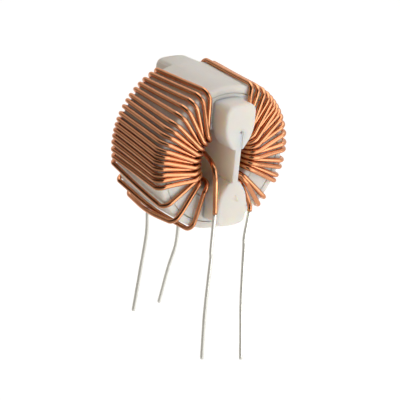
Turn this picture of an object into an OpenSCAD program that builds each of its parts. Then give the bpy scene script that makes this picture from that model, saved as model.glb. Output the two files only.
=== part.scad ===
// Common mode choke: a ring core in a moulded case, with two copper windings kept apart by a divider.
// Millimetres, +Z up. The toroid axis runs along Y, with -Y to the front.
// The origin lies on the board plane, under the middle of the case, and the leads go down through it.

/* [Case] */
// Outer diameter of the ring case at its front rim
case_od = 22.6; // [20:0.2:26]
// How much the case's radius grows from its front rim to its rear
case_draft = 0.3; // [0.1:0.05:0.4]
// Diameter of the hole through the ring case
hole_d = 10.6; // [10:0.2:11.6]
// Length of the ring case along its axis
case_len = 11.6; // [9:0.2:16]
// Wall thickness of the cup
wall = 1.4; // [1.25:0.05:1.7]
// Thickness of the cup's rims beside the lid
rim_w = 1.1; // [0.6:0.05:1.25]
// Thickness of the lid
lid_t = 0.9; // [0.6:0.05:1.4]
// Radius of the rounded case edges
edge_r = 0.5; // [0.3:0.05:0.6]
// Clearance between the lid and the rims
seam_gap = 0.1; // [0.05:0.01:0.2]
// Clearance around the core inside the case
core_gap = 0.2; // [0.1:0.05:0.3]
// Height of the case above the board
stand_off = 0.5; // [0.4:0.1:1.5]

/* [Divider] */
// Width of the lugs across the divider
lug_w = 5.3; // [4.5:0.1:5.6]
// How far the front lugs' tops lie inside the case's outer radius
front_lug_inset = 1.7; // [1.3:0.1:2.4]
// How far the front lugs stand out from the lid
front_lug_len = 3.65; // [2.6:0.05:4.5]
// How far the rear lugs stand out from the cup
rear_lug_len = 3.65; // [2.6:0.05:4.5]
// Radius of the lugs' outer corners
lug_corner_r = 0.6; // [0.3:0.05:0.9]
// Distance from the axis at which the lugs' cheeks start to taper
cheek_start = 6.5; // [6:0.1:7]
// Distance from the axis at which the cheeks end
cheek_end = 2.6; // [2.2:0.1:3.2]
// Width across both cheeks at their ends
cheek_tip_w = 1.8; // [1.4:0.1:3]
// Thickness of the partition plate
plate_t = 0.95; // [0.7:0.05:1.2]
// Clearance between the plate and its slots in the rear lugs
plate_gap = 0.06; // [0.03:0.01:0.1]
// Clearance between the plate's long edges and the hole
plate_edge_gap = 0.15; // [0.1:0.05:0.3]
// Width of the slit beside the plate in the upper front lug
slit_w = 0.12; // [0.08:0.02:0.3]
// Depth of the slit
slit_depth = 1.2; // [0.6:0.1:2]
// How far the slit runs past the plate's edge
slit_over = 0.25; // [0.1:0.05:0.5]
// Depth of the sink mark at the foot of the plate in the lower front lug
mark_depth = 0.2; // [0.1:0.05:0.4]

/* [Windings] */
// Diameter of the enamelled wire
wire_d = 0.65; // [0.5:0.01:0.68]
// Clearance between the wire and what it lies on
wire_gap = 0.06; // [0.03:0.01:0.08]

/* [Leads] */
// Diameter of the tinned leads
lead_d = 0.56; // [0.4:0.01:0.6]
// Length of the leads below the board plane
lead_len = 19; // [4:0.5:30]
// Height above the board at which the front left lead loses its enamel
front_left_enamel_h = 4.9; // [3:0.1:5.5]
// Height above the board at which the front right lead loses its enamel
front_right_enamel_h = 4.4; // [3:0.1:5.5]
// Height above the board at which the rear leads lose their enamel
rear_enamel_h = 1.1; // [0.8:0.1:2]

/* [Hidden] */
$fn = 64;
// Overrun of every cut
overrun = 1;

case_r = case_od / 2;
case_rear_r = case_r + case_draft;
hole_r = hole_d / 2;
half_len = case_len / 2;
axis_h = case_rear_r + stand_off;
lug_half_w = lug_w / 2;
front_lug_r = case_r - front_lug_inset;
plate_half_h = hole_r - plate_edge_gap;
wire_r = wire_d / 2;

// Corners of the sink mark about the foot of the plate, as shares of the plate's thickness
mark_shares = [[0.3, 0.6], [-0.4, 0], [0.95, -0.6]];

// Angle about the axis of each turn, from +X towards +Z, where it bends over the rear and the front edge.
// The last turns lie loose, and two of those on the left cross.
left_rear_angles = [
    115.5, 121, 127, 132, 137, 142.5, 147, 152, 157.5, 162, 166.2, 170.4, 174.8, 179.5, 185, 190.5, 195.5, 211,
    227
];
left_front_angles = [
    111, 117.5, 124.5, 131.5, 138, 145, 150.5, 155.5, 161, 166.5, 171, 175.5, 180.5, 185.5, 190, 196, 212, 245,
    227.5
];
right_rear_angles = [
    110, 117, 124, 130, 134.5, 139, 143.5, 148, 153.5, 160, 167.5, 175, 180.5, 189, 194.5, 201.5, 206, 221, 228
];
right_front_angles = [
    108.5, 116, 124, 131, 137, 141.5, 146, 151, 157, 164, 171.5, 178, 185, 192, 198.5, 204, 214, 226, 238
];
// How far each loose turn bulges off the case at its rear edge, its middle and its front edge, as shares of
// the wire diameter
left_loose_shares = [[0.3, 0.4, 0.2], [0.2, 0.4, 0.1], [0.3, 1.55, 0.8]];
right_loose_shares = [[0, 0.1, 0], [0, 0.1, 0], [0.1, 0.1, 0]];
// Angles inside the hole: those of the tight turns run evenly from the first to the last, then the loose ones
tight_inner_angles = [122, 204];
left_loose_inner_angles = [211, 232, 221];
right_loose_inner_angles = [219, 224.5, 230.5];
tight_turns = len(left_rear_angles) - len(left_loose_shares);
// Places on a face between which every other wire climbs onto its neighbours, as shares of the face's width
climb_shares = [0.88, 0.42];
// Height below the axis at which a lead's wire turns into the hole, as a share of the hole radius
rise_share = 0.75;
// The wire's way through the hole: shares of the hole radius, half the case length and the hole radius
through_shares = [[-0.45, -1.18, -0.3], [-0.27, -0.52, 0], [-0.3, 0.1, 0.34]];
// The wire's way down a face to its last lead: angles, then shares of the case radius and of the lug length
left_exit_angles = [236, 243];
left_exit_shares = [[0.6, 0.13], [0.86, 0.42]];
right_exit_angles = [235];
right_exit_shares = [[0.61, 0.42]];
// Where each lead stands along its lug, as shares of the lug length
lead_front_share = 0.95;
lead_rear_share = 0.5;
// How far the front right lead splays above the board, as a share of its enamel's height
splay_share = 0.09;
// How far each lead leans at its tip, along X and Y, as shares of its length below the board
lean_left_front_shares = [0.018, 0];
lean_left_rear_shares = [0.013, 0.104];
lean_right_front_shares = [-0.015, -0.14];
lean_right_rear_shares = [-0.011, 0.157];
// Width of a lead's elbow and how far the straight pieces stop short of its middle, as shares of the lead diameter
elbow_share = 1.06;
elbow_inset_share = 0.1;

corner_steps = 2;
corner_step = 90 / corner_steps;
cheek_steps = 6;
// The corner points lie outside the bend, so that the straight pieces between them clear the case
bend_r = (edge_r + wire_gap + wire_r) / cos(corner_step / 2);
layer_step = wire_d + wire_gap;
wire_sides = 8;
lead_x = lug_half_w + wire_gap + wire_r;
lead_front_y = -half_len - front_lug_len * lead_front_share;
lead_rear_y = half_len + rear_lug_len * lead_rear_share;

function unit(v) = v / norm(v);
function polar(angle, r, y) = [r * cos(angle), y, axis_h + r * sin(angle)];
function blend(a, b, t) = a + (b - a) * t;
function reversed(list) = [for (i = [len(list) - 1 : -1 : 0]) list[i]];
function half_turn(p) = [-p[0], -p[1], p[2]];
function arc_points(c, r, a0, a1, steps) =
    [for (i = [0 : steps]) c + r * [cos(a0 + (a1 - a0) * i / steps), sin(a0 + (a1 - a0) * i / steps)]];

// Outline of a wall's section with its four corners rounded; its outer radius may differ at the two ends
function rounded_section(r0, rear_r, front_r, h0, h1, e) = let (steps = 4) concat(
    arc_points([rear_r - e, h0 + e], e, -90, 0, steps),
    arc_points([front_r - e, h1 - e], e, 0, 90, steps),
    arc_points([r0 + e, h1 - e], e, 90, 180, steps),
    arc_points([r0 + e, h0 + e], e, 180, 270, steps)
);

// The wire's angles inside the hole, from its way in to the end of its last turn
function inner_angles(loose) = concat(
    [for (i = [0 : tight_turns]) blend(tight_inner_angles[0], tight_inner_angles[1], i / tight_turns)], loose
);
// The bulges of all turns, the tight ones first
function all_bulges(loose) = concat([for (i = [1 : tight_turns]) [0, 0, 0]], loose);

// One bend of the wire over a case edge, at one angle about the axis: its points in radius and depth
function bend_points(angle, c, r, a0, a1) =
    [for (i = [0 : corner_steps]) let (a = blend(a0, a1, i / corner_steps))
        polar(angle, c[0] + r * cos(a), c[1] + r * sin(a))];

function layer_lift(i) = i % 2 == 0 ? layer_step : 0;

// A run across a face, from the angle at the outer edge of that radius to the angle in the hole
function face_points(outer_angle, inner_angle, outer_r, lift, side) =
    [for (i = [0, 1]) let (s = climb_shares[i])
        polar(
            blend(inner_angle, outer_angle, s),
            blend(hole_r, outer_r, s),
            side * (half_len - edge_r + bend_r + i * lift)
        )];

function outer_bend(angle, outer_r, bulge, a0, a1, side) =
    bend_points(angle, [outer_r - edge_r + bulge * wire_d, side * (half_len - edge_r)], bend_r, a0, a1);
function outer_middle(angle, bulge) =
    polar(angle, (case_r + case_rear_r) / 2 + wire_gap + wire_r + bulge * wire_d, 0);
function inner_bend(i, inner, a0, a1, side) =
    bend_points(inner[i], [hole_r + edge_r, side * (half_len - edge_r)], bend_r + layer_lift(i), a0, a1);
function rear_face_out(i, inner, outer_angle, outer_r) =
    reversed(face_points(outer_angle, inner[i], outer_r, layer_lift(i), 1));

// One whole turn: over the rear edge, forward along the outside, down the front face, back through the hole
function turn_points(i, rear, front, edges, bulges, inner) = let (bulge = bulges[i - 1]) concat(
    outer_bend(rear[i - 1], edges[0], bulge[0], 90, 0, 1),
    [outer_middle((rear[i - 1] + front[i - 1]) / 2, bulge[1])],
    outer_bend(front[i - 1], edges[1], bulge[2], 0, -90, -1),
    face_points(front[i - 1], inner[i], edges[1], layer_lift(i), -1),
    inner_bend(i, inner, 270, 180, -1),
    inner_bend(i, inner, 180, 90, 1),
    i < len(rear) ? rear_face_out(i, inner, rear[i], edges[0]) : []
);

// The whole wire, from the enamel's end at the front lead to its end at the rear lead; edges holds the case's
// outer radius at the wire's rear and front
function winding_path(rear, front, edges, bulges, inner, exit, front_lead, rear_lead) =
    let (
        front_dir = unit(front_lead[1] - front_lead[0]),
        rise = axis_h - rise_share * hole_r - front_lead[0][2],
        rear_dir = unit(rear_lead[1] - rear_lead[0])
    )
    concat(
        [front_lead[0], front_lead[0] - front_dir * wire_d, front_lead[0] + front_dir * rise / front_dir[2]],
        [for (s = through_shares) [s[0] * hole_r, s[1] * half_len, axis_h + s[2] * hole_r]],
        inner_bend(0, inner, 180, 90, 1),
        rear_face_out(0, inner, rear[0], edges[0]),
        [for (i = [1 : len(rear)]) each turn_points(i, rear, front, edges, bulges, inner)],
        exit,
        [rear_lead[0] - rear_dir * wire_d, rear_lead[0]]
    );

// The wire's way down a face to its last lead, beside a lug of that length
function exit_points(angles, shares, lug_len) = [for (i = [0 : len(angles) - 1])
    polar(angles[i], shares[i][0] * case_r, half_len + shares[i][1] * lug_len)];

function path_tangent(p, i) =
    i == 0 ? unit(p[1] - p[0])
    : i == len(p) - 1 ? unit(p[i] - p[i - 1])
    : unit(unit(p[i + 1] - p[i]) + unit(p[i] - p[i - 1]));
function across(v, t) = unit(v - (v * t) * t);

// A round wire along a path: its rings keep their turn from one point to the next
module wire(path) {
    last = len(path) - 1;
    tangents = [for (i = [0 : last]) path_tangent(path, i)];
    normals = [
        for (i = 0, n = across([1, 0, 0], tangents[0]); i <= last;
             i = i + 1, n = i <= last ? across(n, tangents[i]) : n) n
    ];
    points = [
        for (i = [0 : last]) let (side = cross(tangents[i], normals[i]))
            for (k = [0 : wire_sides - 1]) let (a = 360 * k / wire_sides)
                path[i] + wire_r * (normals[i] * cos(a) + side * sin(a))
    ];
    walls = [
        for (i = [0 : last - 1]) for (k = [0 : wire_sides - 1]) let (m = (k + 1) % wire_sides)
            each [
                [i * wire_sides + k, (i + 1) * wire_sides + k, i * wire_sides + m],
                [i * wire_sides + m, (i + 1) * wire_sides + k, (i + 1) * wire_sides + m]
            ]
    ];
    first_cap = [for (k = [0 : wire_sides - 1]) k];
    last_cap = [for (k = [wire_sides - 1 : -1 : 0]) last * wire_sides + k];
    polyhedron(points, concat(walls, [first_cap, last_cap]));
}

// Turns a shape so that its own Z runs forward along the toroid axis and its Y points up
module on_axis() {
    translate([0, 0, axis_h]) rotate([90, 0, 0]) children();
}

module ring(r0, r1, h0, h1) {
    rotate_extrude() translate([r0, h0]) square([r1 - r0, h1 - h0]);
}

// Outline of the upper lug: an arc on top, straight sides, and two cheeks that curve in along the plate
module lug_outline(outer_r) {
    corner_x = lug_half_w - lug_corner_r;
    corner_y = sqrt(pow(outer_r - lug_corner_r, 2) - pow(corner_x, 2));
    tangent_x = corner_x * outer_r / (outer_r - lug_corner_r);
    taper = lug_half_w - cheek_tip_w / 2;
    cheek_h = cheek_start - cheek_end;
    cheek_r = (pow(taper, 2) + pow(cheek_h, 2)) / (2 * taper);
    right = arc_points([lug_half_w - cheek_r, cheek_start], cheek_r, 0, -asin(cheek_h / cheek_r), cheek_steps);
    left = [for (p = reversed(right)) [-p[0], p[1]]];
    difference() {
        intersection() {
            circle(outer_r);
            polygon(concat([[-lug_half_w, outer_r], [lug_half_w, outer_r]], right, left));
        }
        for (side = [0, 1]) mirror([side, 0]) difference() {
            translate([tangent_x, corner_y]) square([lug_half_w, outer_r]);
            translate([corner_x, corner_y]) circle(lug_corner_r);
        }
    }
}

// Both lugs of one end, drawn from one depth to another along the axis
module lug_pair(outer_r, h0, h1) {
    for (side = [0, 1]) mirror([0, side, 0])
        translate([0, 0, h0]) linear_extrude(h1 - h0) lug_outline(outer_r);
}

module core() {
    color([0.24, 0.23, 0.23]) on_axis() ring(
        hole_r + wall + core_gap, case_r - wall - core_gap,
        -half_len + wall + core_gap, half_len - lid_t - core_gap
    );
}

module case_cup() {
    slot_half_w = plate_t / 2 + plate_gap;
    slot_half_h = plate_half_h + plate_gap;
    lug_end = -half_len - rear_lug_len;
    color([0.87, 0.86, 0.84]) on_axis() {
        difference() {
            rotate_extrude()
                polygon(rounded_section(hole_r, case_rear_r, case_r, -half_len, half_len, min(edge_r, rim_w)));
            ring(hole_r + wall, case_r - wall, -half_len + wall, half_len + overrun);
            ring(hole_r + rim_w, case_r - rim_w, half_len - lid_t, half_len + overrun);
        }
        difference() {
            union() {
                lug_pair(case_rear_r, lug_end, -half_len);
                intersection() {
                    lug_pair(case_rear_r, lug_end, -half_len + wall);
                    ring(hole_r + edge_r, case_rear_r, lug_end, -half_len + wall);
                }
            }
            translate([-slot_half_w, -slot_half_h, lug_end - overrun])
                cube([2 * slot_half_w, 2 * slot_half_h, rear_lug_len + overrun]);
        }
    }
}

module case_lid() {
    color([0.9, 0.89, 0.87]) on_axis()
        ring(hole_r + rim_w + seam_gap, case_r - rim_w - seam_gap, half_len - lid_t, half_len);
}

// The plate across the hole, in one piece with the front lugs that rest on the lid
module partition_plate() {
    rear_end = -half_len - rear_lug_len;
    front_end = half_len + front_lug_len;
    color([0.88, 0.87, 0.85]) on_axis() difference() {
        union() {
            translate([-plate_t / 2, -plate_half_h, rear_end])
                cube([plate_t, 2 * plate_half_h, front_end - rear_end]);
            difference() {
                lug_pair(front_lug_r, half_len, front_end);
                translate([0, 0, front_end - slit_depth])
                    cube([plate_t / 2 + slit_w, plate_half_h + slit_over, slit_depth + overrun]);
            }
        }
        translate([0, -plate_half_h, front_end - mark_depth])
            linear_extrude(mark_depth + overrun) polygon(mark_shares * plate_t);
    }
}

// Each lead's three places: where the enamel stops, the elbow at the board, and the tip
function lead_places(x, y, h, splay, lean) =
    [[x + splay * h, y, h], [x, y, 0], [x + lean[0] * lead_len, y + lean[1] * lead_len, -lead_len]];

front_left_lead = lead_places(-lead_x, lead_front_y, front_left_enamel_h, 0, lean_left_front_shares);
front_right_lead = lead_places(lead_x, lead_front_y, front_right_enamel_h, splay_share, lean_right_front_shares);
rear_left_lead = lead_places(-lead_x, lead_rear_y, rear_enamel_h, 0, lean_left_rear_shares);
rear_right_lead = lead_places(lead_x, lead_rear_y, rear_enamel_h, 0, lean_right_rear_shares);

module rod(from, to) {
    run = to - from;
    translate(from) rotate([0, acos(run[2] / norm(run)), atan2(run[1], run[0])])
        cylinder(h = norm(run), d = lead_d);
}

// A straight stub down to the board, a round elbow, and the straight pin below the board
module lead(places) {
    inset = elbow_inset_share * lead_d;
    color([0.75, 0.76, 0.73]) {
        rod(places[0], places[1] + inset * unit(places[0] - places[1]));
        translate(places[1]) sphere(d = elbow_share * lead_d);
        rod(places[1] + inset * unit(places[2] - places[1]), places[2]);
    }
}

left_path = winding_path(
    left_rear_angles, left_front_angles, [case_rear_r, case_r],
    all_bulges(left_loose_shares), inner_angles(left_loose_inner_angles),
    exit_points(left_exit_angles, left_exit_shares, rear_lug_len), front_left_lead, rear_left_lead
);
// The right winding is wound as the left one is, and stands a half turn about Z from it
right_path = [for (p = winding_path(
    right_rear_angles, right_front_angles, [case_r, case_rear_r],
    all_bulges(right_loose_shares), inner_angles(right_loose_inner_angles),
    exit_points(right_exit_angles, right_exit_shares, front_lug_len),
    [for (p = rear_right_lead) half_turn(p)], [for (p = front_right_lead) half_turn(p)]
)) half_turn(p)];

module winding_left() { color([0.78, 0.5, 0.3]) wire(left_path); }
module winding_right() { color([0.78, 0.5, 0.3]) wire(right_path); }
module lead_front_left() { lead(front_left_lead); }
module lead_front_right() { lead(front_right_lead); }
module lead_rear_left() { lead(rear_left_lead); }
module lead_rear_right() { lead(rear_right_lead); }

core();
case_cup();
case_lid();
partition_plate();
winding_left();
winding_right();
lead_front_left();
lead_front_right();
lead_rear_left();
lead_rear_right();
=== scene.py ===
import math

import bmesh
import bpy
import numpy as np
from mathutils import Matrix, Vector


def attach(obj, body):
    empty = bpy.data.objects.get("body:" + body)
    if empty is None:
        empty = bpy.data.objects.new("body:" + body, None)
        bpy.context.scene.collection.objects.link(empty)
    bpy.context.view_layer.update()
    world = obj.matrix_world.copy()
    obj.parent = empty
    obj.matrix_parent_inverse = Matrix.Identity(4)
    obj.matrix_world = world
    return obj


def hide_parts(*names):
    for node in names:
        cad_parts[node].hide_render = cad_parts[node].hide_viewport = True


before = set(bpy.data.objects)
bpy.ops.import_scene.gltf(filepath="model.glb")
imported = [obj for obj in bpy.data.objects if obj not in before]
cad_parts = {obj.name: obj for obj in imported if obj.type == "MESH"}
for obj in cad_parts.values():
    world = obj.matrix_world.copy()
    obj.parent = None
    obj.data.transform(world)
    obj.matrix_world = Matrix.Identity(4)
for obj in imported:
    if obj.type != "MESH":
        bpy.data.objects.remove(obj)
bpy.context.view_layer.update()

MM = 0.001
FRONT = -1
REAR = 1

# Sizes of the part, in millimetres
CASE_R = 11.3
CASE_REAR_R = 11.6
HOLE_R = 5.3
HALF_LEN = 5.8
STAND_OFF = 0.5
AXIS_H = CASE_REAR_R + STAND_OFF
EDGE_R = 0.5
LUG_LEN = 3.65
LUG_HALF_W = 2.65
FRONT_LUG_R = 9.6
CHEEK_START = 6.5
CHEEK_END = 2.6
CHEEK_TIP_W = 1.8
PLATE_HALF_T = 0.475
WIRE_R = 0.325
WIRE_D = 2 * WIRE_R
WIRE_GAP = 0.06
LEAD_LEN = 19.0
# Radii at which the wire and the leads are shown, a little over the part's own
WIRE_SHOWN_R = 0.36
LEAD_SHOWN_R = 0.305

# Camera of the photograph, about the middle of the toroid, in degrees, millimetres and pixels
IMAGE_SIZE = 400
CAMERA_AZIMUTH = 37.08
CAMERA_ELEVATION = 19.84
CAMERA_ROLL = 5.61
CAMERA_DISTANCE = 300.0
PIXELS_PER_MM = 6.63
TOROID_PIXEL_Y = 145.21
SENSOR_MM = 36.0
CLIP_START = 10.0

# Places of the leads, along Y as shares of the lugs' length
LEAD_FRONT_SHARE = 0.95
LEAD_REAR_SHARE = 0.5
LEAD_X = LUG_HALF_W + WIRE_GAP + WIRE_R
LEAD_FRONT_Y = -HALF_LEN - LEAD_FRONT_SHARE * LUG_LEN
LEAD_REAR_Y = HALF_LEN + LEAD_REAR_SHARE * LUG_LEN

# Windings: angles about the axis, from +X towards +Z, where each turn bends over the rear and front edges.
# All values of the right winding are those of a left one that then makes a half turn about Z.
LEFT_REAR = [
    115.5, 121, 127, 132, 137, 142.5, 147, 152, 157.5, 162, 166.2, 170.4, 174.8, 179.5, 185, 190.5,
    195.5, 211, 227,
]
LEFT_FRONT = [
    111, 117.5, 124.5, 131.5, 138, 145, 150.5, 155.5, 161, 166.5, 171, 175.5, 180.5, 185.5, 190, 196,
    212, 245, 227.5,
]
RIGHT_REAR = [
    110, 117, 124, 130, 134.5, 139, 143.5, 148, 153.5, 160, 167.5, 175, 180.5, 189, 194.5, 201.5,
    206, 221, 228,
]
RIGHT_FRONT = [
    108.5, 116, 124, 131, 137, 141.5, 146, 151, 157, 164, 171.5, 178, 185, 192, 198.5, 204,
    214, 226, 238,
]
# How far each loose last turn stands off at its rear edge, its middle and its front edge, in wire diameters
LEFT_LOOSE = [(0.3, 0.4, 0.2), (0.2, 0.4, 0.1), (0.3, 1.55, 0.8)]
RIGHT_LOOSE = [(0, 0.1, 0), (0, 0.1, 0), (0.1, 0.1, 0)]
TIGHT_TURNS = len(LEFT_REAR) - len(LEFT_LOOSE)
# Angles inside the hole: the tight turns run evenly from the first to the last, and the loose ones follow
TIGHT_INNER = (122, 204)
LEFT_LOOSE_INNER = [211, 232, 221]
RIGHT_LOOSE_INNER = [219, 224.5, 230.5]
# The wires' ways from their first leads into the hole, about the toroid's middle
LEFT_ENTRY = [
    (-3.13, -9.27, -5.8), (-3.34, -9.27, -3.4), (-3.5, -9.2, -1.6), (-3.55, -8.85, -0.35),
    (-3.3, -7.9, 0.25), (-2.85, -6.4, 0.45), (-2.4, -4.6, 0.6), (-1.9, -1.5, 1.1), (-1.6, 0.58, 1.8),
]
RIGHT_ENTRY = [(-LEAD_X, -LEAD_REAR_Y, -4.0), (-2.4, -6.84, -1.6), (-1.43, -3.0, 0), (-1.6, 0.58, 1.8)]
# The wires' ways down a face to their last leads: angle, then shares of the case radius and lug length
LEFT_EXITS = [(236, 0.6, 0.13), (243, 0.86, 0.42)]
RIGHT_EXITS = [(235, 0.61, 0.42)]
# Places of the points on a run across a face, as shares of its length
FACE_SHARES = (0.06, 0.3, 0.5, 0.7, 0.94)
LAYER_STEP = WIRE_D + WIRE_GAP
BEND_R = EDGE_R + WIRE_GAP + WIRE_R
BEND_STEPS = 6
# Angles between which a wire turns over the edges of each end, in degrees from outwards towards the rear
OUTER_SWEEPS = {REAR: (90, 0), FRONT: (0, -90)}
INNER_SWEEPS = {REAR: (180, 90), FRONT: (270, 180)}
# Bends over the outer edges: how far in from the edge the centre lies, and the radius.
# They are snug at the rear of the part and sprung back at its front.
SNUG_BEND = (EDGE_R, BEND_R)
SPRUNG_BEND = (0.8, 1.31)
# Corner cutting that smooths a winding's path: share of a step that is cut, and how often
CORNER_CUT = 0.25
CUT_ROUNDS = 2
WIRE_SIDES = 14
# A direction that no wire starts along, from which a tube's first side is found
SIDE_HINT = (0.3, 0.9, 0.2)

# Leads: how each bows off its straight line below the elbow, as a share of its length and offsets in X and Y
LEAD_BOWS = {
    "lead_front_left": [(0.12, 0.1, 0.0), (0.35, -0.05, 0.0), (0.6, -0.18, 0.0), (0.82, -0.1, 0.0)],
    "lead_front_right": [(0.25, -0.12, 0.0), (0.55, -0.18, 0.05), (0.8, -0.08, 0.0)],
    "lead_rear_left": [(0.27, 0.4, 0.0), (0.6, 0.25, 0.0)],
    "lead_rear_right": [(0.22, 0.3, -0.3), (0.43, 0.42, -0.6), (0.66, 0.2, -0.25)],
}
# Places of a lead's points beside its elbow, as shares of the piece above it and of the piece below it
ABOVE_ELBOW_SHARE = 0.5
BELOW_ELBOW_SHARE = 0.08
LEAD_RINGS = 80
LEAD_SIDES = 12
# The tin's uneven thickness: the most it swells either way, the number of random draws, and their seeds
TIN_SWELL = 0.012
TIN_PLACES = 16
TIN_SEEDS = {"lead_front_left": 410, "lead_front_right": 451, "lead_rear_left": 393, "lead_rear_right": 394}
# Radius of a lead's cut end, as a share of its own
TIP_SHARE = 0.82

# Case forms: width of a node's rounded edges, the end and the outer radius of its lugs, and its look
CASE_FORMS = {
    "case_cup": (0.1, (REAR, CASE_REAR_R), "case_plastic"),
    "case_lid": (0.2, None, "case_plastic"),
    "partition_plate": (0.1, (FRONT, FRONT_LUG_R), "divider_plastic"),
}
# Points nearer than this are merged. Angles in degrees: faces that meet at less than the first are joined,
# edges over the second are rounded, and edges over the third shade as sharp
MERGE_DISTANCE = 0.002
FLAT_ANGLE = 1.0
ROUNDED_ANGLE = 28
SHARP_ANGLE = 38
BEVEL_SEGMENTS = 3
BEVEL_PROFILE = 0.5
# Splitting of the lugs' faces: the length over which an edge is split, the rounds, and the reach past them
LUG_EDGE = 0.3
SPLIT_ROUNDS = 6
SPLIT_DEPTH = 0.05
SPLIT_BELOW = 0.3
# Rounding of the lugs: radius of the outer corners, radius at the ends, and the depth in which it sets in
LUG_CORNER_R = 1.3
LUG_END_R = {REAR: 0.9, FRONT: 0.4}
FADE_DEPTH = 1.0
FACE_TOLERANCE = 0.02
CHEEK_POINTS = 24
CORNER_POINTS = 20
TOP_POINTS = 16
# The rear upper lug flares between two heights over the axis, so that it ends the band between the windings
# at its full width
FLARE_SHARE = 0.17
FLARE_FROM = 5.5
FLARE_TO = 8.5

# Stage, in metres
TARGET = Vector((0, 0, AXIS_H * MM))
FLOOR_Z = -60 * MM
FLOOR_HALF = 3.0
FLOOR_COLOUR = (0.55, 0.55, 0.55, 1)
FLOOR_ROUGHNESS = 0.9
WHITE = (1, 1, 1, 1)
# The dark side of the studio, the cosines to it between which reflections darken, and their level elsewhere
DARK_SIDE = Vector((-0.93, -0.35, 0.1)).normalized()
DARK_FROM = -0.1
DARK_TO = 0.55
MIRRORED_LEVEL = 0.85
# Levels on the dark side in a reflection, where light only scatters, and where the surface is seen
FLOOR_LEVELS = (0.05, 0.42, 0.74)
ROOM_LEVELS = (0.03, 0.22, 1.0)
# Colours of the scattered light
FLOOR_BOUNCE = (1.0, 0.95, 0.87, 1)
ROOM_BOUNCE = (1.0, 0.84, 0.68, 1)


def polar(angle, r, y):
    """A point at an angle and a radius about the toroid's axis."""
    a = math.radians(angle)
    return np.array([r * math.cos(a), y, AXIS_H + r * math.sin(a)])


def mix(a, b, t):
    return a + (b - a) * t


def eased(t):
    """Goes from 0 to 1 as t does, slowly at both ends."""
    return t * t * (3 - 2 * t)


def unit(v):
    return v / np.linalg.norm(v)


# Paths of the wires

def lead_places(x, y, enamel_h, lean, splay=0):
    """Where a lead's enamel stops, its elbow at the board, and its tip.

    Lean and splay are sideways shares of its length below and above the board."""
    return np.array([
        (x + splay * enamel_h, y, enamel_h),
        (x, y, 0),
        (x + lean[0] * LEAD_LEN, y + lean[1] * LEAD_LEN, -LEAD_LEN),
    ])


LEADS = {
    "lead_front_left": lead_places(-LEAD_X, LEAD_FRONT_Y, enamel_h=4.9, lean=(0.018, 0)),
    "lead_front_right": lead_places(LEAD_X, LEAD_FRONT_Y, enamel_h=4.4, lean=(-0.015, -0.14), splay=0.09),
    "lead_rear_left": lead_places(-LEAD_X, LEAD_REAR_Y, enamel_h=1.1, lean=(0.013, 0.104)),
    "lead_rear_right": lead_places(LEAD_X, LEAD_REAR_Y, enamel_h=1.1, lean=(-0.011, 0.157)),
}


def bend(angle, centre, r, sweep):
    """Points of one bend over a case edge, in the plane at that angle about the axis."""
    out = []
    for i in range(BEND_STEPS + 1):
        a = math.radians(mix(*sweep, i / BEND_STEPS))
        out.append(polar(angle, centre[0] + r * math.cos(a), centre[1] + r * math.sin(a)))
    return out


def face_run(outer, inner, outer_r, lift, shape, side):
    """Points straight across a face, from the outer bend in to the hole, where the wire is lifted."""
    inset, r = shape
    start = polar(outer, outer_r - inset, side * (HALF_LEN - inset + r))
    stop = polar(inner, HOLE_R + EDGE_R, side * (HALF_LEN - EDGE_R + BEND_R + lift))
    return [mix(start, stop, share) for share in FACE_SHARES]


def lift_of(turn):
    """Every other turn lies on its neighbours in the hole."""
    return LAYER_STEP if turn % 2 == 0 else 0


def inner_angles(loose):
    return [mix(*TIGHT_INNER, i / TIGHT_TURNS) for i in range(TIGHT_TURNS + 1)] + loose


def outer_bend(angle, outer_r, bulge, shape, side):
    inset, r = shape
    centre = (outer_r - inset + bulge * WIRE_D, side * (HALF_LEN - inset))
    return bend(angle, centre, r, OUTER_SWEEPS[side])


def inner_bend(angle, lift, side):
    centre = (HOLE_R + EDGE_R, side * (HALF_LEN - EDGE_R))
    return bend(angle, centre, BEND_R + lift, INNER_SWEEPS[side])


def winding_path(rear, front, edges, shapes, loose, inner, entry, exits, leads):
    """One whole wire, from the enamel's end at its front lead to the end at its rear lead."""
    rear_r, front_r = edges
    rear_shape, front_shape = shapes
    front_lead, rear_lead = leads
    turns = len(rear)
    bulges = [(0, 0, 0)] * TIGHT_TURNS + loose
    front_dir = unit(front_lead[1] - front_lead[0])
    rear_dir = unit(rear_lead[1] - rear_lead[0])
    points = [front_lead[0], front_lead[0] - front_dir * WIRE_D]
    points += [np.array(p) + (0, 0, AXIS_H) for p in entry]
    points += inner_bend(inner[0], lift_of(0), REAR)
    points += face_run(rear[0], inner[0], rear_r, lift_of(0), rear_shape, REAR)[::-1]
    for i in range(1, turns + 1):
        bulge = bulges[i - 1]
        lift = lift_of(i)
        points += outer_bend(rear[i - 1], rear_r, bulge[0], rear_shape, REAR)
        middle_r = (CASE_R + CASE_REAR_R) / 2 + WIRE_GAP + WIRE_R + bulge[1] * WIRE_D
        points.append(polar((rear[i - 1] + front[i - 1]) / 2, middle_r, 0))
        points += outer_bend(front[i - 1], front_r, bulge[2], front_shape, FRONT)
        points += face_run(front[i - 1], inner[i], front_r, lift, front_shape, FRONT)
        points += inner_bend(inner[i], lift, FRONT)
        points += inner_bend(inner[i], lift, REAR)
        if i < turns:
            points += face_run(rear[i], inner[i], rear_r, lift, rear_shape, REAR)[::-1]
    points += [polar(a, r * CASE_R, HALF_LEN + y * LUG_LEN) for a, r, y in exits]
    points += [rear_lead[0] - rear_dir * WIRE_D, rear_lead[0]]
    return np.array(points)


def half_turn(points):
    return points * (-1, -1, 1)


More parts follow.
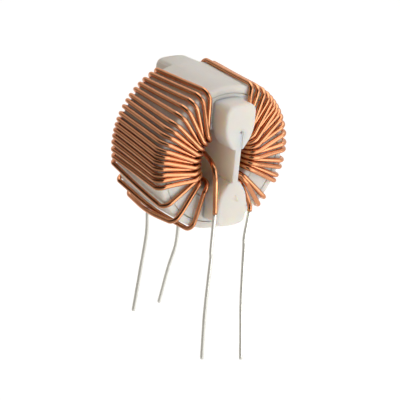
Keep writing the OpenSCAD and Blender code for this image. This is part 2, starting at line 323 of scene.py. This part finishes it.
def rounded_path(points):
    """Corner cutting: each round replaces a corner by two points, and the ends stay."""
    for _ in range(CUT_ROUNDS):
        a = points[:-1]
        b = points[1:]
        cut = np.empty((2 * len(a), 3))
        cut[0::2] = mix(a, b, CORNER_CUT)
        cut[1::2] = mix(a, b, 1 - CORNER_CUT)
        points = np.vstack([points[:1], cut[1:-1], points[-1:]])
    return points


def smooth_through(points, count):
    """Points evenly spaced along a smooth curve through the given ones."""
    padded = np.vstack([2 * points[0] - points[1], points, 2 * points[-1] - points[-2]])
    knots = np.concatenate([[0], np.cumsum(np.linalg.norm(np.diff(points, axis=0), axis=1))])
    out = []
    for distance in np.linspace(0, knots[-1], count):
        i = min(int(np.searchsorted(knots, distance, side="right")), len(points) - 1) - 1
        share = (distance - knots[i]) / (knots[i + 1] - knots[i])
        before, start, stop, after = padded[i:i + 4]
        swing = (1 - share) * (stop - before) - share * (after - start)
        out.append(mix(start, stop, eased(share)) + share * (1 - share) * swing / 2)
    return np.array(out)


# Meshes

def link(name, data):
    obj = bpy.data.objects.new(name, data)
    bpy.context.scene.collection.objects.link(obj)
    return obj


def tube(name, path, radii, sides):
    """A closed round tube along a path in millimetres, with one radius for each point."""
    steps = np.diff(path, axis=0)
    steps /= np.linalg.norm(steps, axis=1)[:, None]
    tangents = np.vstack([steps[:1], steps[1:] + steps[:-1], steps[-1:]])
    tangents /= np.linalg.norm(tangents, axis=1)[:, None]
    normal = unit(np.cross(tangents[0], SIDE_HINT))
    points = []
    for centre, tangent, radius in zip(path, tangents, radii):
        normal = unit(normal - tangent * (normal @ tangent))
        side = np.cross(tangent, normal)
        for k in range(sides):
            a = 2 * math.pi * k / sides
            points.append((centre + radius * (normal * math.cos(a) + side * math.sin(a))) * MM)
    faces = []
    last = (len(path) - 1) * sides
    for ring in range(0, last, sides):
        for k in range(sides):
            beside = (k + 1) % sides
            faces.append((ring + k, ring + beside, ring + sides + beside, ring + sides + k))
    faces.append(tuple(range(sides))[::-1])
    faces.append(tuple(last + k for k in range(sides)))
    mesh = bpy.data.meshes.new(name)
    mesh.from_pydata([tuple(p) for p in points], [], faces)
    mesh.polygons.foreach_set("use_smooth", [len(p.vertices) == 4 for p in mesh.polygons])
    mesh.update()
    return link(name, mesh)


def arc(centre, r, start, stop, count):
    angles = np.linspace(start, stop, count)
    return [(centre[0] + r * math.cos(a), centre[1] + r * math.sin(a)) for a in angles]


def lug_rim(outer_r):
    """Outline of an upper lug as moulded, from the tip of its right cheek over the top to the left one."""
    taper = LUG_HALF_W - CHEEK_TIP_W / 2
    height = CHEEK_START - CHEEK_END
    cheek_r = (taper**2 + height**2) / (2 * taper)
    corner_x = LUG_HALF_W - LUG_CORNER_R
    corner_y = math.sqrt((outer_r - LUG_CORNER_R)**2 - corner_x**2)
    lean = math.atan2(corner_y, corner_x)
    half = arc((LUG_HALF_W - cheek_r, CHEEK_START), cheek_r, -math.asin(height / cheek_r), 0, CHEEK_POINTS)
    half += arc((corner_x, corner_y), LUG_CORNER_R, 0, lean, CORNER_POINTS)
    half += arc((0, 0), outer_r, lean, math.pi / 2, TOP_POINTS)[1:]
    return np.array(half + [(-x, y) for x, y in half[-2::-1]])


def refine_lugs(shape, side):
    """Splits the faces of the lugs of one end, so that they can be rounded."""
    def inside(vert):
        depth = side * vert.co.y / MM
        away = abs(vert.co.z / MM - AXIS_H)
        return depth > HALF_LEN - SPLIT_DEPTH and away > CHEEK_END - SPLIT_BELOW

    def all_inside(parts):
        return [p for p in parts if all(inside(v) for v in p.verts)]

    bmesh.ops.triangulate(shape, faces=all_inside(shape.faces))
    for _ in range(SPLIT_ROUNDS):
        split = all_inside(e for e in shape.edges if e.calc_length() > LUG_EDGE * MM)
        bmesh.ops.subdivide_edges(shape, edges=split, cuts=1)
        fresh = bmesh.ops.triangulate(shape, faces=all_inside(shape.faces))
        bmesh.ops.beautify_fill(shape, faces=fresh["faces"], edges=fresh["edges"])


def round_lugs(shape, side, outer_r):
    """Rounds the ends and the corners of both lugs of one end, more where they are wide."""
    rim = lug_rim(outer_r)
    steps = np.diff(rim, axis=0)
    lengths = np.linalg.norm(steps, axis=1)
    for vert in shape.verts:
        x, y, z = (c / MM for c in vert.co)
        depth = side * y - HALF_LEN
        away = abs(z - AXIS_H)
        if depth < FACE_TOLERANCE or away < CHEEK_END:
            continue
        place = np.array([x, away])
        share = np.clip(((place - rim[:-1]) * steps).sum(1) / lengths**2, 0, 1)
        foot = rim[:-1] + share[:, None] * steps
        k = int(np.linalg.norm(place - foot, axis=1).argmin())
        normal = np.array([steps[k][1], -steps[k][0]]) / lengths[k]
        half_w = np.interp(away, rim[:CHEEK_POINTS, 1], rim[:CHEEK_POINTS, 0])
        r = LUG_END_R[side] * min(1, half_w - PLATE_HALF_T)
        out = (place - foot[k]) @ normal + r
        to_end = r - (LUG_LEN - depth)
        if out <= 0:
            continue
        pull = min(1, r / math.hypot(out, max(to_end, 0)))
        place += normal * out * (pull - 1) * eased(min(1, depth / FADE_DEPTH))
        if to_end > 0:
            depth = LUG_LEN - r + to_end * pull
        height = math.copysign(place[1], z - AXIS_H)
        vert.co = np.array([place[0], side * (HALF_LEN + depth), AXIS_H + height]) * MM


def flare_lug(shape):
    """Widens the rear upper lug towards its top."""
    for vert in shape.verts:
        height = vert.co.z / MM - AXIS_H
        if vert.co.y / MM > HALF_LEN + FACE_TOLERANCE and height > FLARE_FROM:
            share = min(1, (height - FLARE_FROM) / (FLARE_TO - FLARE_FROM))
            vert.co.x *= 1 + FLARE_SHARE * eased(share)


def softened(node, name, edge_w, lugs):
    """A copy of a CAD node's form with its moulded edges rounded, those of its lugs the most."""
    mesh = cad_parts[node].data.copy()
    mesh.name = name
    shape = bmesh.new()
    shape.from_mesh(mesh)
    bmesh.ops.remove_doubles(shape, verts=shape.verts, dist=MERGE_DISTANCE * MM)
    bmesh.ops.dissolve_limit(
        shape, angle_limit=math.radians(FLAT_ANGLE), verts=shape.verts, edges=shape.edges,
        use_dissolve_boundaries=False,
    )
    least = math.radians(ROUNDED_ANGLE)
    rounded = [e for e in shape.edges if len(e.link_faces) == 2 and e.calc_face_angle() > least]
    bmesh.ops.bevel(
        shape, geom=rounded, offset=edge_w * MM, segments=BEVEL_SEGMENTS, profile=BEVEL_PROFILE,
        affect="EDGES", clamp_overlap=True,
    )
    if lugs:
        side, outer_r = lugs
        refine_lugs(shape, side)
        round_lugs(shape, side, outer_r)
        if side == REAR:
            flare_lug(shape)
    for face in shape.faces:
        face.smooth = True
    shape.to_mesh(mesh)
    shape.free()
    mesh.set_sharp_from_angle(angle=math.radians(SHARP_ANGLE))
    return link(name, mesh)


# Materials

class Nodes:
    """A material's node tree, with short calls for the nodes used here."""

    # Values between which most of a noise lies
    noise_low = 0.3
    noise_high = 0.7

    def __init__(self, name):
        self.material = bpy.data.materials.new(name)
        self.material.use_nodes = True
        self.tree = self.material.node_tree
        self.shader = self.tree.nodes["Principled BSDF"]
        coordinates = self.tree.nodes.new("ShaderNodeTexCoord")
        self.place = coordinates.outputs["Object"]

    def link(self, a, b):
        self.tree.links.new(a, b)

    def noise(self, per_mm, detail=3.0, roughness=0.55):
        node = self.tree.nodes.new("ShaderNodeTexNoise")
        node.inputs["Scale"].default_value = per_mm / MM
        node.inputs["Detail"].default_value = detail
        node.inputs["Roughness"].default_value = roughness
        self.link(self.place, node.inputs["Vector"])
        return node.outputs["Fac"]

    def colour(self, source, dark, light, inset=0.3):
        """Base colour that goes from dark to light, between places set in from both ends of the noise."""
        node = self.tree.nodes.new("ShaderNodeValToRGB")
        low, high = node.color_ramp.elements
        low.position = inset
        low.color = (*dark, 1.0)
        high.position = 1 - inset
        high.color = (*light, 1.0)
        self.link(source, node.inputs["Fac"])
        self.link(node.outputs["Color"], self.shader.inputs["Base Color"])

    def roughness(self, source, low, high):
        node = self.tree.nodes.new("ShaderNodeMapRange")
        node.inputs["From Min"].default_value = self.noise_low
        node.inputs["From Max"].default_value = self.noise_high
        node.inputs["To Min"].default_value = low
        node.inputs["To Max"].default_value = high
        self.link(source, node.inputs["Value"])
        self.link(node.outputs["Result"], self.shader.inputs["Roughness"])

    def bump(self, source, height_mm, strength):
        node = self.tree.nodes.new("ShaderNodeBump")
        node.inputs["Distance"].default_value = height_mm * MM
        node.inputs["Strength"].default_value = strength
        self.link(source, node.inputs["Height"])
        self.link(node.outputs["Normal"], self.shader.inputs["Normal"])

    def set(self, **values):
        for key, value in values.items():
            self.shader.inputs[key.replace("_", " ")].default_value = value


def enamelled_copper():
    look = Nodes("enamelled_copper")
    look.set(Metallic=0.95, Coat_Weight=0.1, Coat_Roughness=0.12)
    patches = look.noise(per_mm=0.55, detail=4.0)
    look.colour(patches, dark=(0.66, 0.275, 0.128), light=(0.74, 0.33, 0.16), inset=0.32)
    look.roughness(look.noise(per_mm=1.6), low=0.14, high=0.22)
    look.bump(look.noise(per_mm=2.2, detail=2.0), height_mm=0.012, strength=0.5)
    return look.material


def case_plastic(name, glow, reach_mm):
    """White moulded plastic that lets some light in, which turns warm as it comes out again."""
    look = Nodes(name)
    look.set(IOR=1.5, Subsurface_Weight=glow, Subsurface_Scale=reach_mm * MM)
    look.set(Subsurface_Radius=(1.0, 0.66, 0.42))
    clouds = look.noise(per_mm=0.25, detail=4.0)
    look.colour(clouds, dark=(0.815, 0.795, 0.755), light=(0.85, 0.835, 0.8))
    look.roughness(look.noise(per_mm=1.2), low=0.42, high=0.56)
    look.bump(look.noise(per_mm=1.1, detail=5.0, roughness=0.6), height_mm=0.02, strength=0.5)
    return look.material


def tinned_wire():
    look = Nodes("tinned_wire")
    look.set(Metallic=0.75)
    look.colour(look.noise(per_mm=0.9, detail=4.0), dark=(0.86, 0.87, 0.82), light=(0.94, 0.95, 0.9))
    look.roughness(look.noise(per_mm=2.0), low=0.16, high=0.28)
    look.bump(look.noise(per_mm=1.4), height_mm=0.02, strength=0.4)
    return look.material


def ferrite():
    look = Nodes("ferrite")
    grain = look.noise(per_mm=1.5, detail=6.0)
    look.colour(grain, dark=(0.035, 0.034, 0.034), light=(0.075, 0.072, 0.07))
    look.roughness(look.noise(per_mm=3.0), low=0.5, high=0.75)
    look.bump(look.noise(per_mm=6.0, detail=6.0), height_mm=0.02, strength=0.5)
    return look.material


# The thin divider lets more light through than the case
MATERIALS = {
    "enamelled_copper": enamelled_copper(),
    "case_plastic": case_plastic("case_plastic", glow=0.6, reach_mm=1.4),
    "divider_plastic": case_plastic("divider_plastic", glow=1.0, reach_mm=3.0),
    "tinned_wire": tinned_wire(),
    "ferrite": ferrite(),
}


def dress(obj, look):
    obj.data.materials.clear()
    obj.data.materials.append(MATERIALS[look])


def add_piece(obj, slot, node, look=None):
    dress(obj, look or slot)
    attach(obj, "root")
    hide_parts(node)


# Pieces

def make_windings():
    left = winding_path(
        LEFT_REAR, LEFT_FRONT, edges=(CASE_REAR_R, CASE_R), shapes=(SNUG_BEND, SPRUNG_BEND),
        loose=LEFT_LOOSE, inner=inner_angles(LEFT_LOOSE_INNER), entry=LEFT_ENTRY, exits=LEFT_EXITS,
        leads=(LEADS["lead_front_left"], LEADS["lead_rear_left"]),
    )
    right = half_turn(winding_path(
        RIGHT_REAR, RIGHT_FRONT, edges=(CASE_R, CASE_REAR_R), shapes=(SPRUNG_BEND, SNUG_BEND),
        loose=RIGHT_LOOSE, inner=inner_angles(RIGHT_LOOSE_INNER), entry=RIGHT_ENTRY, exits=RIGHT_EXITS,
        leads=(half_turn(LEADS["lead_rear_right"]), half_turn(LEADS["lead_front_right"])),
    ))
    for name, points in (("winding_left", left), ("winding_right", right)):
        path = rounded_path(points)
        radii = np.full(len(path), WIRE_SHOWN_R)
        add_piece(tube(name + "_wire", path, radii, WIRE_SIDES), "enamelled_copper", name)


def make_lead(name):
    top, elbow, tip = LEADS[name]
    points = [top, mix(top, elbow, ABOVE_ELBOW_SHARE), elbow, mix(elbow, tip, BELOW_ELBOW_SHARE)]
    points += [mix(elbow, tip, share) + np.array([x, y, 0]) for share, x, y in LEAD_BOWS[name]]
    points.append(tip)
    path = smooth_through(np.array(points), LEAD_RINGS)
    drawn = np.random.default_rng(TIN_SEEDS[name]).uniform(-TIN_SWELL, TIN_SWELL, TIN_PLACES)
    swell = np.interp(np.linspace(0, 1, LEAD_RINGS), np.linspace(0, 1, TIN_PLACES), drawn)
    radii = LEAD_SHOWN_R + swell
    radii[-1] *= TIP_SHARE
    add_piece(tube(name + "_wire", path, radii, LEAD_SIDES), "tinned_wire", name)


def make_case():
    for node, (edge_w, lugs, look) in CASE_FORMS.items():
        add_piece(softened(node, node + "_moulded", edge_w, lugs), "case_plastic", node, look)


# Stage, light and camera

def level_by_ray(tree, direction, levels, bounce, strength, colour):
    """White where it is seen, darker to the dark side in a reflection, and tinted where it scatters."""
    dark, scattered, seen = levels

    def math_node(operation, a, b):
        node = tree.nodes.new("ShaderNodeMath")
        node.operation = operation
        for value, socket in zip((a, b), node.inputs):
            if isinstance(value, float):
                socket.default_value = value
            else:
                tree.links.new(value, socket)
        return node.outputs[0]

    away = tree.nodes.new("ShaderNodeVectorMath")
    away.operation = "NORMALIZE"
    tree.links.new(direction, away.inputs[0])
    facing = tree.nodes.new("ShaderNodeVectorMath")
    facing.operation = "DOT_PRODUCT"
    facing.inputs[1].default_value = DARK_SIDE
    tree.links.new(away.outputs["Vector"], facing.inputs[0])
    shade = tree.nodes.new("ShaderNodeMapRange")
    shade.interpolation_type = "SMOOTHSTEP"
    shade.inputs["From Min"].default_value = DARK_FROM
    shade.inputs["From Max"].default_value = DARK_TO
    shade.inputs["To Min"].default_value = MIRRORED_LEVEL
    shade.inputs["To Max"].default_value = dark
    tree.links.new(facing.outputs["Value"], shade.inputs["Value"])
    rays = tree.nodes.new("ShaderNodeLightPath")
    glossy = rays.outputs["Is Glossy Ray"]
    direct = math_node("MAXIMUM", rays.outputs["Is Camera Ray"], rays.outputs["Is Transmission Ray"])
    share = math_node("MAXIMUM", direct, math_node("MULTIPLY", glossy, shade.outputs["Result"]))
    faint = math_node("MULTIPLY", math_node("SUBTRACT", 1.0, glossy), scattered)
    tree.links.new(math_node("MAXIMUM", faint, math_node("MULTIPLY", share, seen)), strength)
    tint = tree.nodes.new("ShaderNodeValToRGB")
    tint.color_ramp.elements[0].color = bounce
    tint.color_ramp.elements[1].color = WHITE
    tree.links.new(math_node("MAXIMUM", direct, glossy), tint.inputs["Fac"])
    tree.links.new(tint.outputs["Color"], colour)


def make_floor():
    corners = [(x * FLOOR_HALF, y * FLOOR_HALF, FLOOR_Z) for x, y in ((-1, -1), (1, -1), (1, 1), (-1, 1))]
    mesh = bpy.data.meshes.new("floor")
    mesh.from_pydata(corners, [], [(0, 1, 2, 3)])
    floor = link("floor", mesh)
    material = bpy.data.materials.new("floor_white")
    material.use_nodes = True
    shader = material.node_tree.nodes["Principled BSDF"]
    shader.inputs["Base Color"].default_value = FLOOR_COLOUR
    shader.inputs["Roughness"].default_value = FLOOR_ROUGHNESS
    shader.inputs["Specular IOR Level"].default_value = 0.0
    place = material.node_tree.nodes.new("ShaderNodeNewGeometry")
    level_by_ray(
        material.node_tree, place.outputs["Position"], FLOOR_LEVELS, FLOOR_BOUNCE,
        shader.inputs["Emission Strength"], shader.inputs["Emission Color"],
    )
    floor.data.materials.append(material)


def make_world():
    world = bpy.data.worlds.new("studio")
    bpy.context.scene.world = world
    world.use_nodes = True
    background = world.node_tree.nodes["Background"]
    direction = world.node_tree.nodes.new("ShaderNodeTexCoord")
    level_by_ray(
        world.node_tree, direction.outputs["Generated"], ROOM_LEVELS, ROOM_BOUNCE,
        background.inputs["Strength"], background.inputs["Color"],
    )


def add_light(name, place, size, watts, facing=None):
    """A soft rectangular lamp about the toroid's middle, facing it or along a given direction."""
    data = bpy.data.lights.new(name, "AREA")
    data.shape = "RECTANGLE"
    data.size, data.size_y = size
    data.energy = watts
    lamp = link(name, data)
    lamp.location = TARGET + Vector(place)
    lamp.rotation_euler = Vector(facing or [-c for c in place]).to_track_quat("-Z", "Y").to_euler()
    lamp.visible_camera = False


def make_lights():
    add_light("key", place=(0.16, -0.44, 0.15), size=(0.5, 0.4), watts=0.84)
    add_light("top", place=(0.14, 0.1, 0.54), size=(0.6, 0.6), watts=1.62)
    add_light("low", place=(0.12, -0.22, -0.067), size=(0.32, 0.17), watts=0.44, facing=(0, 0, 1))


def make_camera():
    """The photograph's camera, pitched so that the toroid's middle lies at its height in the picture."""
    azimuth = math.radians(CAMERA_AZIMUTH)
    elevation = math.radians(CAMERA_ELEVATION)
    roll = math.radians(CAMERA_ROLL)
    away = Vector((
        -math.sin(azimuth) * math.cos(elevation),
        -math.cos(azimuth) * math.cos(elevation),
        math.sin(elevation),
    ))
    level_right = Vector((math.cos(azimuth), -math.sin(azimuth), 0))
    level_up = away.cross(level_right)
    right = level_right * math.cos(roll) + level_up * math.sin(roll)
    rolled_up = level_up * math.cos(roll) - level_right * math.sin(roll)
    focal_pixels = PIXELS_PER_MM * CAMERA_DISTANCE
    pitch = math.atan((IMAGE_SIZE / 2 - TOROID_PIXEL_Y) / focal_pixels)
    look = -away * math.cos(pitch) - rolled_up * math.sin(pitch)
    up = rolled_up * math.cos(pitch) - away * math.sin(pitch)
    data = bpy.data.cameras.new("camera")
    data.sensor_width = SENSOR_MM
    data.lens = SENSOR_MM * focal_pixels / IMAGE_SIZE
    data.clip_start = CLIP_START * MM
    camera = link("camera", data)
    turn = Matrix((right, up, -look)).transposed().to_4x4()
    camera.matrix_world = Matrix.Translation(TARGET + away * CAMERA_DISTANCE * MM) @ turn
    bpy.context.scene.camera = camera


make_windings()
for lead_name in LEADS:
    make_lead(lead_name)
make_case()
dress(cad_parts["core"], "ferrite")
make_floor()
make_world()
make_lights()
make_camera()
bpy.context.scene.view_settings.view_transform = "Standard"
